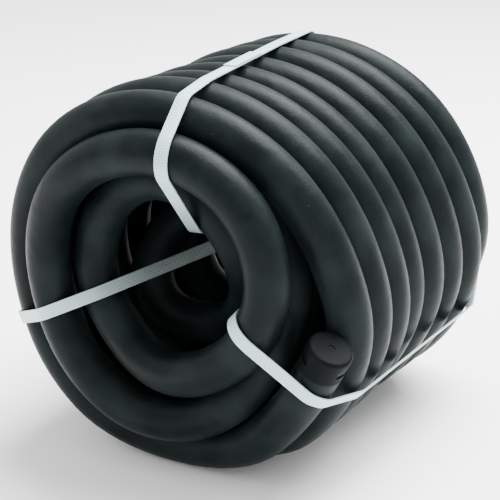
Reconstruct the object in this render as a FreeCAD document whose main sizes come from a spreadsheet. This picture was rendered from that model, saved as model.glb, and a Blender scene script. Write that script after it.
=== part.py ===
import FreeCAD, Part
import Sketcher
import math
import os

# Porous rubber soaker hose in its shipping coil: one hose, a capped end, an inlet coupling with a
# swivel nut, and three welded straps. Millimetres, +Z up. The coil's axis runs along Y, with the
# capped end at the front (-Y) and the inlet facing +Y. The origin is under the middle of the coil.

SIZES = (
    ("hose_od", 19.0, "outside diameter of the hose"),
    ("hose_bore", 13.0, "bore of the hose"),
    ("turn_gap", 0.6, "gap between neighbouring outer turns"),
    ("second_gap", 1.0, "gap between neighbouring turns of the second layer"),
    ("foot_height", 73.4, "coil axis down to the centreline of the flattened foot"),
    ("foot_half_angle", 23.5, "half of the angle that the foot takes of each turn, degrees"),
    ("second_radius", 53.5, "radius of the second layer's centreline"),
    ("strap_width", 5.6, "width of the strapping"),
    ("strap_thickness", 0.7, "thickness of the strapping"),
    ("strap_gap", 0.4, "clearance from hose to strap"),
    ("strap_lap", 30.0, "length of the welded lap"),
    ("cap_length", 12.0, "end cap, from the hose's end to its outer face"),
    ("cap_step", 0.1, "how far the cap stands proud of the hose"),
    ("cap_face", 2.2, "thickness of the cap's outer wall"),
    ("cap_wall", 1.4, "thickness of the cap's skirt"),
    ("cap_rim", 1.5, "rounding of the cap's outer edge"),
    ("gate_radius", 1.6, "moulding gate in the cap's face"),
    ("gate_depth", 0.3, "depth of the gate's dimple"),
    ("snap_count", 3.0, "snap windows round the cap"),
    ("window_inset", 5.0, "outer face to the near edge of a snap window"),
    ("window_length", 3.0, "snap window along the cap"),
    ("window_width", 5.5, "snap window round the cap"),
    ("snap_clearance", 0.3, "lug to window, on each side"),
    ("lug_recess", 0.6, "lug's end below the cap's surface"),
    ("head_clearance", 0.1, "plug head to cap"),
    ("head_wall", 2.6, "wall of the plug's hollow head"),
    ("plug_stem", 18.0, "length of the plug's stem in the hose"),
    ("tail_stem", 14.5, "length of the inlet tail's stem in the hose"),
    ("stem_waist", 5.6, "radius of a barbed stem between its barbs"),
    ("stem_tip", 5.0, "radius of a barbed stem at its tip"),
    ("barb_clearance", 0.05, "barb to bore"),
    ("barb_count", 3.0, "barbs on a stem"),
    ("barb_length", 3.6, "length of one barb"),
    ("tail_bore", 4.3, "radius of the water way through the tail"),
    ("neck_radius", 7.0, "radius of the neck that the nut swivels on"),
    ("flange_radius", 11.6, "radius of the tail's flange"),
    ("flange_thickness", 2.6, "thickness of the tail's flange"),
    ("disc_radius", 9.0, "radius of the flow disc"),
    ("disc_thickness", 1.2, "thickness of the flow disc"),
    ("disc_hole", 1.2, "radius of the hole in the flow disc"),
    ("disc_clearance", 0.1, "flow disc to its seat"),
    ("ferrule_length", 14.0, "length of the ferrule over the hose"),
    ("ferrule_wall", 0.9, "thickness of the ferrule"),
    ("ferrule_clearance", 0.1, "ferrule to hose and to neck"),
    ("crimp_count", 3.0, "crimp rings in the ferrule"),
    ("crimp_width", 1.6, "width of a crimp ring"),
    ("crimp_depth", 0.4, "depth of a crimp ring"),
    ("nut_length", 18.0, "length of the swivel nut"),
    ("nut_radius", 15.0, "radius of the nut between its ribs"),
    ("nut_chamfer", 1.0, "chamfer of the nut's outer edges"),
    ("thread_radius", 12.2, "wall radius of the 3/4 inch garden hose thread"),
    ("swivel_clearance", 0.08, "nut's lip to neck"),
    ("lip_thickness", 2.4, "nut's lip behind the flange"),
    ("lip_gap", 0.2, "lip to flange, along the axis"),
    ("nut_gap", 0.3, "ferrule to nut, along the axis"),
    ("rib_count", 18.0, "grip ribs round the nut"),
    ("rib_height", 1.0, "height of a rib"),
    ("rib_width", 2.2, "width of a rib"),
    ("rib_inset", 2.0, "rib's ends from the nut's ends"),
    ("washer_radius", 12.5, "outside radius of the washer"),
    ("washer_hole", 8.0, "hole radius of the washer"),
    ("washer_thickness", 3.0, "thickness of the washer"),
    ("washer_gap", 0.1, "washer to flange, and to its groove in the nut"),
)

doc = FreeCAD.newDocument("SoakerHose")
sheet = doc.addObject("Spreadsheet::Sheet", "Sizes")
for row, (name, number, meaning) in enumerate(SIZES, start=1):
    sheet.set("A%d" % row, meaning)
    sheet.set("B%d" % row, str(number))
    sheet.setAlias("B%d" % row, name)
doc.recompute()


class Length:
    """A size together with the spreadsheet formula that gives it."""

    def __init__(self, number, formula):
        self.number = float(number)
        self.formula = formula

    def joined(self, other, sign):
        if not isinstance(other, Length):
            other = Length(other, str(other))
        return other, "(%s %s %s)" % (self.formula, sign, other.formula)

    def __add__(self, other):
        other, formula = self.joined(other, "+")
        return Length(self.number + other.number, formula)

    def __sub__(self, other):
        other, formula = self.joined(other, "-")
        return Length(self.number - other.number, formula)

    def __mul__(self, other):
        other, formula = self.joined(other, "*")
        return Length(self.number * other.number, formula)

    def __truediv__(self, other):
        other, formula = self.joined(other, "/")
        return Length(self.number / other.number, formula)


def size(name):
    return Length(sheet.get(name), "Sizes." + name)


def value(name):
    return float(sheet.get(name))


ZERO = Length(0, "0")
HOSE_RADIUS = value("hose_od") / 2
BORE_RADIUS = value("hose_bore") / 2

# ---------------------------------------------------------------- route of the hose
# The route is a list of corners that tangent arcs round off. It is measured from the coil's axis:
# "turned" is the angle gone round, in degrees from the right (+X), clockwise as seen from the front.

LEAN_SIDE = -0.0416          # how the turns lean along Y, per mm towards +X
LEAN_UP = -0.1605            # and per mm upwards
START_STATION = -66.5        # along Y, where the first turn begins
FREE_END = (75.0, -66.6, -19.8)
FIRST_CORNER = (62.8, -61.6, -41.3)
OUTER_RADII = (              # each outer turn's radius at the top and then at the right
    (74.2, 76.2), (76.2, 75.9), (75.2, 75.4), (75.2, 73.4),
    (75.0, 74.6), (76.2, 75.7), (75.7, 77.0), (75.0, 75.3),
)
OUTER_CORNERS = 12           # corners in each outer turn, the foot's two among them
LAST_LAP = len(OUTER_RADII) - 1
FIRST_EASE = (-1.0, 0.0, 1.3, -3.1, -2.8, -0.7)    # added to the first turn's first radii
LAST_EASE = (-0.4, 0.1, 0.8, 1.8, 0.6, -3.0)       # added over the last turn's left and top
LAST_EASE_STEP = 4           # the corner of the last turn where that starts
RIGHT_EASE = (4.3, 1.9)      # added to each turn's last two radii
FOOT_SHIFT = 3.3             # how much further right each later foot begins
LAST_OUTER = 2905            # turned, at the end of the outer layer
INNER_STEP = 30              # turned, from corner to corner inside the outer layer
CROSSING = (                 # turned, radius, station: inwards behind the last outer turn
    (2925, 69.5, 93.2),
    (2955, 63.0, 97.0),
    (2985, 57.0, 99.6),
    (3015, 54.2, 98.6),
)
SECOND_STATION = 95.3        # along Y, where the second layer begins
SECOND_START = 3060          # turned, at the same place
SPIRAL_START = 5310          # turned, where the second layer ends
SPIRAL = (                   # turned, radius, y: front loops, then the core turns
    (5325, 56.4, -38.2), (5355, 55.2, -41.4), (5385, 53.2, -47.9),
    (5415, 52.4, -53.9), (5445, 53.8, -59.2), (5475, 57.4, -63.4),
    (5505, 57.9, -64.4), (5535, 56.1, -63.4), (5565, 54.6, -63.4),
    (5595, 55.4, -67.4), (5625, 57.6, -73.8), (5655, 60.1, -77.8),
    (5685, 64.1, -79.5), (5715, 64.9, -78.3), (5745, 57.8, -74.7),
    (5775, 48.1, -73.4), (5805, 38.8, -73.1), (5835, 34.8, -69.7),
    (5865, 31.9, -64.6), (5895, 31.2, -59.2), (5925, 34.5, -56.5),
    (5955, 38.8, -54.9), (5985, 43.4, -54.1), (6015, 46.2, -54.2),
    (6045, 43.1, -53.5), (6075, 35.2, -50.4), (6105, 30.3, -43.7),
    (6135, 28.1, -36.5), (6165, 26.9, -30.9), (6195, 25.7, -28.6),
    (6225, 26.5, -29.0), (6255, 28.0, -30.7), (6285, 27.7, -28.5),
    (6315, 24.9, -21.9), (6345, 24.0, -15.3), (6375, 25.6, -9.6),
    (6405, 27.5, -5.5), (6435, 28.8, -2.5), (6465, 28.6, -0.4),
    (6495, 28.5, 1.5), (6525, 28.6, 2.5), (6840, 29.2, 19.8),
)
INLET_END = (                # from the core turns to the inlet, which faces +Y
    (28.2, 22.5, -8.0),
    (21.5, 28.0, -21.5),
    (8.0, 37.0, -28.0),
    (-4.0, 50.0, -26.0),
    (-8.0, 73.0, -20.0),
    (-8.0, 96.0, -20.0),
)


def round_axis(turned, radius, along):
    angle = math.radians(-turned)
    return FreeCAD.Vector(radius * math.cos(angle), along, radius * math.sin(angle))


def lean(turned, radius):
    angle = math.radians(-turned)
    return radius * (LEAN_SIDE * math.cos(angle) + LEAN_UP * math.sin(angle))


def between(rows, turned, column):
    """Value of a column at an angle, in a straight line from row to row."""
    for low, high in zip(rows, rows[1:]):
        if low[0] <= turned <= high[0]:
            share = (turned - low[0]) / (high[0] - low[0])
            return low[column] + (high[column] - low[column]) * share
    raise ValueError("no row at %s degrees" % turned)


def outer_radius_rows():
    rows = [(0, OUTER_RADII[0][1])]
    for lap, (top, right) in enumerate(OUTER_RADII):
        rows.append((360 * lap + 270, top))
        rows.append((360 * lap + 360, right))
    rows.append((360 * len(OUTER_RADII) + 270, OUTER_RADII[-1][0]))
    return rows


def eased(lap, step):
    """What a corner of the outer layer stands out by, beyond its turn's round."""
    ease = 0.0
    if lap == 0 and step + 1 < len(FIRST_EASE):
        ease += FIRST_EASE[step + 1]
    if lap == LAST_LAP and 0 <= step - LAST_EASE_STEP < len(LAST_EASE):
        ease += LAST_EASE[step - LAST_EASE_STEP]
    right = step - (OUTER_CORNERS - 1 - len(RIGHT_EASE))
    if lap <= LAST_LAP and right >= 0:
        ease += RIGHT_EASE[right]
    return ease


def outer_layer():
    """Eight turns from front to back, each with a flattened foot."""
    rows = outer_radius_rows()
    mean_radius = sum(top for top, right in OUTER_RADII) / len(OUTER_RADII)
    pitch = value("hose_od") + value("turn_gap")
    half_foot = value("foot_half_angle")
    foot_radius = value("foot_height") / math.cos(math.radians(half_foot))
    gap = (360 - 2 * half_foot) / (OUTER_CORNERS - 1)
    corners = [FreeCAD.Vector(*FREE_END), FreeCAD.Vector(*FIRST_CORNER)]
    for lap in range(len(OUTER_RADII) + 1):
        foot_start = 360 * lap + 90 - half_foot
        foot_end = 360 * lap + 90 + half_foot
        for step in range(-1, OUTER_CORNERS - 1):
            turned = foot_start if step < 0 else foot_end + gap * step
            if turned > LAST_OUTER:
                return corners
            radius = foot_radius
            if step > 0:
                radius = between(rows, turned, 1) / math.cos(math.radians(gap / 2))
            radius += eased(lap, step)
            station = START_STATION + pitch * turned / 360 + lean(turned, mean_radius)
            corners.append(round_axis(turned, radius, station))
            if lap > 0 and step < 0:
                corners[-1].x += FOOT_SHIFT
    return corners


def inner_layers():
    """In behind the outer layer, forwards as the second layer, then the front loops and core."""
    pitch = value("hose_od") + value("second_gap")
    outwards = 1 / math.cos(math.radians(INNER_STEP / 2))
    corners = []
    for turned, radius, station in CROSSING:
        corners.append(round_axis(turned, radius * outwards, station + lean(turned, radius)))
    turned = CROSSING[-1][0] + INNER_STEP
    while turned < SPIRAL_START:
        radius = value("second_radius")
        station = SECOND_STATION - pitch * (turned - SECOND_START) / 360
        corners.append(round_axis(turned, radius * outwards, station + lean(turned, radius)))
        turned += INNER_STEP
    while turned <= SPIRAL[-1][0]:
        radius = between(SPIRAL, turned, 1)
        corners.append(round_axis(turned, radius * outwards, between(SPIRAL, turned, 2)))
        turned += INNER_STEP
    return corners


def bend(before, corner, after):
    """Arc that rounds a corner, as large as its two runs allow: start, middle, end, radius."""
    back = before - corner
    onward = after - corner
    reach = 0.45 * min(back.Length, onward.Length)
    back.normalize()
    onward.normalize()
    half_turn = (math.pi - back.getAngle(onward)) / 2
    radius = reach / math.tan(half_turn)
    inwards = (back + onward).normalize()
    middle = corner + inwards * (radius / math.cos(half_turn) - radius)
    return corner + back * reach, middle, corner + onward * reach, radius


def middle_of_run(route, run):
    return (route[run] + route[run + 1]) * 0.5


def path(route, first, last):
    """Centreline from the middle of run first to the middle of run last; end runs are whole."""
    here = route[0] if first == 0 else middle_of_run(route, first)
    edges = []
    for corner in range(first + 1, last + 1):
        start, middle, end, radius = bend(*route[corner - 1:corner + 2])
        edges.append(Part.LineSegment(here, start).toShape())
        edges.append(Part.Arc(start, middle, end).toShape())
        here = end
    stop = route[-1] if last == len(route) - 2 else middle_of_run(route, last)
    edges.append(Part.LineSegment(here, stop).toShape())
    return Part.Wire(edges)


def rod(wire, radius):
    start = wire.Edges[0]
    direction = start.tangentAt(start.FirstParameter)
    circle = Part.Wire(Part.makeCircle(radius, start.valueAt(start.FirstParameter), direction))
    return wire.makePipeShell([circle], True, False)


def tube(wire):
    """Hose along a centreline, with its bore."""
    solid = rod(wire, HOSE_RADIUS).cut(rod(wire, BORE_RADIUS)).Solids[0]
    expected = math.pi * (HOSE_RADIUS ** 2 - BORE_RADIUS ** 2) * wire.Length
    if abs(solid.Volume - expected) > 0.001 * expected:
        raise RuntimeError("hose section: %.0f mm3 is not %.0f mm3" % (solid.Volume, expected))
    return solid


def computed(name, shape):
    feature = doc.addObject("Part::Feature", name)
    feature.Label = name
    feature.Shape = shape
    return feature


outer_corners = outer_layer()
inner_corners = inner_layers()
route = outer_corners + inner_corners + [FreeCAD.Vector(*point) for point in INLET_END]
radii = sorted(bend(*route[corner - 1:corner + 2])[3] for corner in range(1, len(route) - 1))
whole = path(route, 0, len(route) - 2)
print("corners %d, hose length %.0f mm" % (len(route), whole.Length))
print("arc radii from %.1f to %.1f mm" % (radii[0], radii[-1]))
print("smallest " + ", ".join("%.1f" % radius for radius in radii[:6]))

spiral_corners = sum(1 for turned in range(CROSSING[0][0], SPIRAL_START, INNER_STEP))
outer_end = len(outer_corners) - 1
second_end = len(outer_corners) + spiral_corners - 1
last_run = len(route) - 2
hose_parts = [
    computed("hose_outer_layer", tube(path(route, 0, outer_end))),
    computed("hose_second_layer", tube(path(route, outer_end, second_end))),
    computed("hose_core_turns", tube(path(route, second_end, last_run))),
]

# ---------------------------------------------------------------- straps
# Each strap is a closed band in a plane that cuts the coil's wall on one side. It is drawn taut
# round the hose sections that it meets there: an outline of straight runs and equal arcs. A turn
# that passes at a slant fills more of the plane, so it counts as two circles, one on each side.

STRAPS = (    # name, direction in degrees, plane's offset, skew, least height, slack corners
    ("strap_top", 90.0, 5.5, 0.12, 0.0, ((-52.0, 34.0), (-2.0, 25.0), (16.5, 28.2))),
    ("strap_right", -42.0, -27.0, 0.0, 30.0, ((-73.5, 40.7), (88.0, 41.7))),
    ("strap_left", 204.8, 7.3, 0.0, 0.0, ((-25.0, -8.0),)),
)
SAMPLE = 2.0                 # spacing of the centreline's points when a plane is crossed


def crossings(points, origin, normal):
    """Where a chain of points passes through a plane, and which way it runs there."""
    found = []
    for start, end in zip(points, points[1:]):
        low, high = (start - origin).dot(normal), (end - origin).dot(normal)
        if low * high <= 0 and low != high:
            found.append((start + (end - start) * (low / (low - high)), (end - start).normalize()))
    return found


def turns_left(first, second, third):
    return (second[0] - first[0]) * (third[1] - first[1]) > (second[1] - first[1]) * (third[0] - first[0])


def half_hull(points):
    hull = []
    for point in points:
        while len(hull) > 1 and not turns_left(hull[-2], hull[-1], point):
            hull.pop()
        hull.append(point)
    return hull[:-1]


def hull_of(points):
    """Corners of the smallest convex outline round the points, anticlockwise."""
    points = sorted(points)
    return half_hull(points) + half_hull(points[::-1])


def band_face(corners, radius, to_space):
    """Face inside a belt of the given radius round the corners."""
    count = len(corners)
    outwards = []
    for index in range(count):
        ahead = corners[(index + 1) % count]
        along = math.atan2(ahead[1] - corners[index][1], ahead[0] - corners[index][0])
        outwards.append(along - math.pi / 2)

    def at(corner, angle):
        return to_space(corner[0] + radius * math.cos(angle), corner[1] + radius * math.sin(angle))

    edges = []
    for index, corner in enumerate(corners):
        before, after = outwards[index - 1], outwards[index]
        swing = (after - before) % (2 * math.pi)
        arc = Part.Arc(at(corner, before), at(corner, before + swing / 2), at(corner, after))
        edges.append(arc.toShape())
        ahead = corners[(index + 1) % count]
        edges.append(Part.LineSegment(at(corner, after), at(ahead, after)).toShape())
    return Part.Face(Part.Wire(edges))


def welded_lap(corners, radius, to_space, across):
    """Second thickness of strapping on the longest straight run."""
    runs = list(zip(corners, corners[1:] + corners[:1]))
    first, second = max(runs, key=lambda run: math.dist(run[0], run[1]))
    along = math.atan2(second[1] - first[1], second[0] - first[0])
    outwards = along - math.pi / 2
    middle = ((first[0] + second[0]) / 2, (first[1] + second[1]) / 2)

    def at(ahead, out):
        return to_space(
            middle[0] + ahead * math.cos(along) + out * math.cos(outwards),
            middle[1] + ahead * math.sin(along) + out * math.sin(outwards),
        )

    half = value("strap_lap") / 2
    top = radius + value("strap_thickness")
    corners_of_lap = [at(-half, radius), at(half, radius), at(half, top), at(-half, top)]
    return Part.Face(Part.makePolygon(corners_of_lap + corners_of_lap[:1])).extrude(across)


def strap(centreline, direction, offset, skew, least, slack):
    angle = math.radians(direction)
    up = FreeCAD.Vector(math.cos(angle), 0, math.sin(angle))
    flat_normal = FreeCAD.Vector(math.sin(angle), 0, -math.cos(angle))
    origin = flat_normal * offset
    normal = (flat_normal + FreeCAD.Vector(0, skew, 0)).normalize()
    along = up.cross(normal)
    if along.y < 0:
        along = -along
    width = value("strap_width")
    edge_plane = origin - normal * (width / 2)

    def to_space(first, second):
        return edge_plane + along * first + up * second

    centres = list(slack)
    for point, heading in crossings(centreline, origin, normal):
        if (point - origin).dot(up) < least:
            continue
        square = abs(heading.dot(normal))
        slant = math.sqrt(1 - square ** 2)
        spread = HOSE_RADIUS * (1 / square - 1) + width / 2 * slant / square
        aside = (heading - normal * heading.dot(normal)) * (spread / slant)
        for met in (point - origin - aside, point - origin + aside):
            centres.append((met.dot(along), met.dot(up)))
    corners = hull_of(centres)
    inner_radius = HOSE_RADIUS + value("strap_gap")
    outer_radius = inner_radius + value("strap_thickness")
    outline = band_face(corners, outer_radius, to_space).cut(band_face(corners, inner_radius, to_space))
    band = outline.extrude(normal * width)
    lap = welded_lap(corners, outer_radius, to_space, normal * width)
    return band.fuse(lap).removeSplitter().Solids[0]


centreline = whole.discretize(Distance=SAMPLE)
straps = [computed(name, strap(centreline, *place)) for name, *place in STRAPS]

# ---------------------------------------------------------------- fittings
# Each fitting is modelled along its own +Z, which points out of the hose once it is in place.


def new_body(name):
    body = doc.addObject("PartDesign::Body", name)
    body.Label = name
    return body


def sketch_on(body, role, name, height=None):
    sketch = body.newObject("Sketcher::SketchObject", name)
    plane = next(item for item in body.Origin.OriginFeatures if item.Role == role)
    sketch.AttachmentSupport = [(plane, "")]
    sketch.MapMode = "FlatFace"
    if height is not None:
        sketch.setExpression("AttachmentOffset.Base.z", height.formula)
    return sketch


def fix(sketch, kind, geometry, point, length):
    """Distance from the sketch's origin to a point of its geometry."""
    if length.number == 0:
        axis = -2 if kind == "DistanceX" else -1
        sketch.addConstraint(Sketcher.Constraint("PointOnObject", geometry, point, axis))
        return
    index = sketch.addConstraint(Sketcher.Constraint(kind, -1, 1, geometry, point, length.number))
    sketch.setExpression("Constraints[%d]" % index, length.formula)


def lathe(body, corners):
    """Solid of revolution about the body's Z axis from corners given as (radius, height)."""
    sketch = sketch_on(body, "XZ_Plane", body.Name + "_profile")
    ends = corners[1:] + corners[:1]
    for start, end in zip(corners, ends):
        first = FreeCAD.Vector(start[0].number, start[1].number, 0)
        second = FreeCAD.Vector(end[0].number, end[1].number, 0)
        sketch.addGeometry(Part.LineSegment(first, second), False)
    for line in range(len(corners)):
        following = (line + 1) % len(corners)
        sketch.addConstraint(Sketcher.Constraint("Coincident", line, 2, following, 1))
    for line, (radius, height) in enumerate(corners):
        fix(sketch, "DistanceX", line, 1, radius)
        fix(sketch, "DistanceY", line, 1, height)
    turned = body.newObject("PartDesign::Revolution", body.Name + "_turned")
    turned.Profile = sketch
    turned.ReferenceAxis = (sketch, ["V_Axis"])
    turned.Angle = 360
    return turned


def radial_slot(body, name, near, far, width, height):
    """Rectangle on a level plane, from near to far along +X and centred on that axis."""
    sketch = sketch_on(body, "XY_Plane", name, height)
    low, high = -width.number / 2, width.number / 2
    outline = [(near.number, low), (far.number, low), (far.number, high), (near.number, high)]
    for start, end in zip(outline, outline[1:] + outline[:1]):
        sketch.addGeometry(Part.LineSegment(FreeCAD.Vector(*start, 0), FreeCAD.Vector(*end, 0)), False)
    for line in range(4):
        sketch.addConstraint(Sketcher.Constraint("Coincident", line, 2, (line + 1) % 4, 1))
    for direction, line in (("Horizontal", 0), ("Vertical", 1), ("Horizontal", 2)):
        sketch.addConstraint(Sketcher.Constraint(direction, line))
    sketch.addConstraint(Sketcher.Constraint("Symmetric", 3, 1, 3, 2, -1))
    across = sketch.addConstraint(Sketcher.Constraint("DistanceY", 1, 1, 1, 2, width.number))
    sketch.setExpression("Constraints[%d]" % across, width.formula)
    fix(sketch, "DistanceX", 3, 1, near)
    fix(sketch, "DistanceX", 1, 1, far)
    return sketch


def disc_sketch(body, name, radius, height):
    sketch = sketch_on(body, "XY_Plane", name, height)
    circle = Part.Circle(FreeCAD.Vector(), FreeCAD.Vector(0, 0, 1), radius.number)
    sketch.addGeometry(circle, False)
    sketch.addConstraint(Sketcher.Constraint("Coincident", 0, 3, -1, 1))
    index = sketch.addConstraint(Sketcher.Constraint("Radius", 0, radius.number))
    sketch.setExpression("Constraints[%d]" % index, radius.formula)
    return sketch


def feature_from(body, kind, name, sketch, length):
    feature = body.newObject("PartDesign::" + kind, name)
    feature.Profile = sketch
    feature.setExpression("Length", length.formula)
    return feature


def round_pattern(body, feature, name, count):
    """Copies of a feature, evenly spaced about the body's Z axis."""
    pattern = body.newObject("PartDesign::PolarPattern", name)
    pattern.Originals = [feature]
    axis = next(item for item in body.Origin.OriginFeatures if item.Role == "Z_Axis")
    pattern.Axis = (axis, [""])
    pattern.Angle = 360
    pattern.setExpression("Occurrences", count.formula)
    body.Tip = pattern
    return pattern


def circular_edges(feature, radius, height):
    """Names of a feature's circular edges of one radius at one height."""
    doc.recompute()
    names = []
    for number, edge in enumerate(feature.Shape.Edges, start=1):
        curve = edge.Curve
        if isinstance(curve, Part.Circle) and abs(curve.Radius - radius.number) < 0.001:
            if abs(curve.Center.z - height.number) < 0.001:
                names.append("Edge%d" % number)
    if not names:
        raise RuntimeError("%s: no edge of radius %.2f" % (feature.Name, radius.number))
    return names


def place(body, base, outwards, offset, turn=0.0):
    """Stand a fitting's +Z along a direction, its foot at an offset from the hose's end."""
    upright = FreeCAD.Rotation(FreeCAD.Vector(0, 0, 1), outwards)
    own = FreeCAD.Rotation(FreeCAD.Vector(0, 0, 1), turn)
    body.Placement = FreeCAD.Placement(base + outwards * offset.number, upright.multiply(own))


def barbs(length, waist):
    """Stem's outline from its tip to its root: ramps that rise away from the tip."""
    top = size("hose_bore") / 2 - size("barb_clearance")
    outline = [(size("stem_tip"), ZERO)]
    for barb in range(int(value("barb_count"))):
        shoulder = size("barb_length") * (barb + 1)
        outline.append((top, shoulder))
        outline.append((waist, shoulder))
    outline.append((waist, length))
    return outline


cap_end = route[0]
cap_out = (route[0] - route[1]).normalize()
inlet_end = route[-1]
inlet_out = (route[-1] - route[-2]).normalize()
hose_radius = size("hose_od") / 2

# End cap: a cup flush with the hose, a gate dimple in its face and snap windows round its skirt.
cap_radius = hose_radius + size("cap_step")
cap_inside = cap_radius - size("cap_wall")
cap_top = size("cap_length")
cap_floor = cap_top - size("cap_face")
cap = new_body("end_cap")
cup = lathe(cap, [
    (cap_inside, ZERO),
    (cap_radius, ZERO),
    (cap_radius, cap_top),
    (ZERO, cap_top),
    (ZERO, cap_floor),
    (cap_inside, cap_floor),
])
rim_edges = circular_edges(cup, cap_radius, cap_top)
rim = cap.newObject("PartDesign::Fillet", "end_cap_rim")
rim.Base = (cup, rim_edges)
rim.setExpression("Radius", size("cap_rim").formula)
gate = disc_sketch(cap, "gate_outline", size("gate_radius"), cap_top)
feature_from(cap, "Pocket", "gate_dimple", gate, size("gate_depth"))
window_top = cap_top - size("window_inset")
opening = radial_slot(cap, "window_outline", cap_inside - size("lug_recess"),
                      cap_radius + size("lug_recess"), size("window_width"), window_top)
window = feature_from(cap, "Pocket", "window", opening, size("window_length"))
round_pattern(cap, window, "windows", size("snap_count"))

# End plug: a hollow head that snaps into the cap by its lugs, and a barbed stem in the bore.
head_radius = cap_inside - size("head_clearance")
stem_root = size("plug_stem")
head_top = stem_root + cap_floor - size("head_clearance")
head_hollow = head_radius - size("head_wall")
plug = new_body("end_plug")
lathe(plug, [(ZERO, ZERO)] + barbs(stem_root, size("stem_waist")) + [
    (head_radius, stem_root),
    (head_radius, head_top),
    (head_hollow, head_top),
    (head_hollow, stem_root + size("head_wall")),
    (ZERO, stem_root + size("head_wall")),
])
lug_length = size("window_length") - size("snap_clearance") * 2
lug_foot = stem_root + window_top - size("window_length") + size("snap_clearance")
lug_outline = radial_slot(plug, "lug_outline", head_radius - size("head_wall") / 2,
                          cap_radius - size("lug_recess"),
                          size("window_width") - size("snap_clearance") * 2, lug_foot)
lug = feature_from(plug, "Pad", "lug", lug_outline, lug_length)
round_pattern(plug, lug, "lugs", size("snap_count"))

# Inlet tail: barbed stem, neck and flange, bored through, with a seat for the flow disc.
tail_root = size("tail_stem")
neck_length = (size("ferrule_wall") + size("nut_gap") + size("lip_thickness") + size("lip_gap"))
flange_foot = tail_root + neck_length
flange_top = flange_foot + size("flange_thickness")
seat_radius = size("disc_radius") + size("disc_clearance")
seat_floor = flange_top - size("disc_thickness") - size("disc_clearance")
tail = new_body("inlet_tail")
lathe(tail, [(size("tail_bore"), ZERO)] + barbs(tail_root, size("stem_waist")) + [
    (size("neck_radius"), tail_root),
    (size("neck_radius"), flange_foot),
    (size("flange_radius"), flange_foot),
    (size("flange_radius"), flange_top),
    (seat_radius, flange_top),
    (seat_radius, seat_floor),
    (size("tail_bore"), seat_floor),
])

# Flow disc: lies in the tail's seat, held in by the washer.
disc = new_body("flow_disc")
lathe(disc, [
    (size("disc_hole"), ZERO),
    (size("disc_radius"), ZERO),
    (size("disc_radius"), size("disc_thickness")),
    (size("disc_hole"), size("disc_thickness")),
])

# Ferrule: a sleeve over the hose's end, closed in to the neck, with crimp rings.
ferrule_inside = hose_radius + size("ferrule_clearance")
ferrule_radius = ferrule_inside + size("ferrule_wall")
ferrule_mouth = size("neck_radius") + size("ferrule_clearance")
ferrule_top = size("ferrule_length") + size("ferrule_wall")
ring_floor = ferrule_radius - size("crimp_depth")
ring_pitch = size("ferrule_length") / (size("crimp_count") + 1)
ferrule_outline = [(ferrule_inside, ZERO), (ferrule_radius, ZERO)]
for ring in range(int(value("crimp_count"))):
    ring_start = ring_pitch * (ring + 1) - size("crimp_width") / 2
    ring_end = ring_start + size("crimp_width")
    ferrule_outline.append((ferrule_radius, ring_start))
    ferrule_outline.append((ring_floor, ring_start))
    ferrule_outline.append((ring_floor, ring_end))
    ferrule_outline.append((ferrule_radius, ring_end))
ferrule = new_body("inlet_ferrule")
lathe(ferrule, ferrule_outline + [
    (ferrule_radius, ferrule_top),
    (ferrule_mouth, ferrule_top),
    (ferrule_mouth, size("ferrule_length")),
    (ferrule_inside, size("ferrule_length")),
])

# Swivel nut: its lip turns on the neck behind the flange, the washer sits in a groove that is
# wider than the thread in front of it, and grip ribs run round the outside.
lip_bore = size("neck_radius") + size("swivel_clearance")
groove_radius = size("washer_radius") + size("washer_gap")
washer_foot = (size("lip_thickness") + size("lip_gap") + size("flange_thickness")
               + size("washer_gap"))
thread_foot = washer_foot + size("washer_thickness") + size("washer_gap")
nut = new_body("inlet_nut")
lathe(nut, [
    (lip_bore, ZERO),
    (size("nut_radius") - size("nut_chamfer"), ZERO),
    (size("nut_radius"), size("nut_chamfer")),
    (size("nut_radius"), size("nut_length") - size("nut_chamfer")),
    (size("nut_radius") - size("nut_chamfer"), size("nut_length")),
    (size("thread_radius"), size("nut_length")),
    (size("thread_radius"), thread_foot),
    (groove_radius, thread_foot),
    (groove_radius, size("lip_thickness")),
    (lip_bore, size("lip_thickness")),
])
rib_outline = radial_slot(nut, "rib_outline", size("nut_radius") - size("rib_height"),
                          size("nut_radius") + size("rib_height"), size("rib_width"),
                          size("rib_inset"))
rib = feature_from(nut, "Pad", "rib", rib_outline, size("nut_length") - size("rib_inset") * 2)
round_pattern(nut, rib, "ribs", size("rib_count"))

# Washer: lies on the flange inside the nut and turns with it.
washer = new_body("inlet_washer")
lathe(washer, [
    (size("washer_hole"), ZERO),
    (size("washer_radius"), ZERO),
    (size("washer_radius"), size("washer_thickness")),
    (size("washer_hole"), size("washer_thickness")),
])

CAP_TURN = -12.0             # the cap's windows about its axis, degrees
nut_foot = size("ferrule_wall") + size("nut_gap")
place(cap, cap_end, cap_out, ZERO, CAP_TURN)
place(plug, cap_end, cap_out, ZERO - stem_root, CAP_TURN)
place(tail, inlet_end, inlet_out, ZERO - tail_root)
place(disc, inlet_end, inlet_out, seat_floor - tail_root)
place(ferrule, inlet_end, inlet_out, ZERO - size("ferrule_length"))
place(nut, inlet_end, inlet_out, nut_foot)
place(washer, inlet_end, inlet_out, nut_foot + washer_foot)
doc.recompute()

# ---------------------------------------------------------------- move onto the part's origin
# Everything so far is measured from the coil's axis. The origin is at the middle of the part's
# outline as seen from above, at the height of the foot that the outer turns rest on.

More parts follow.
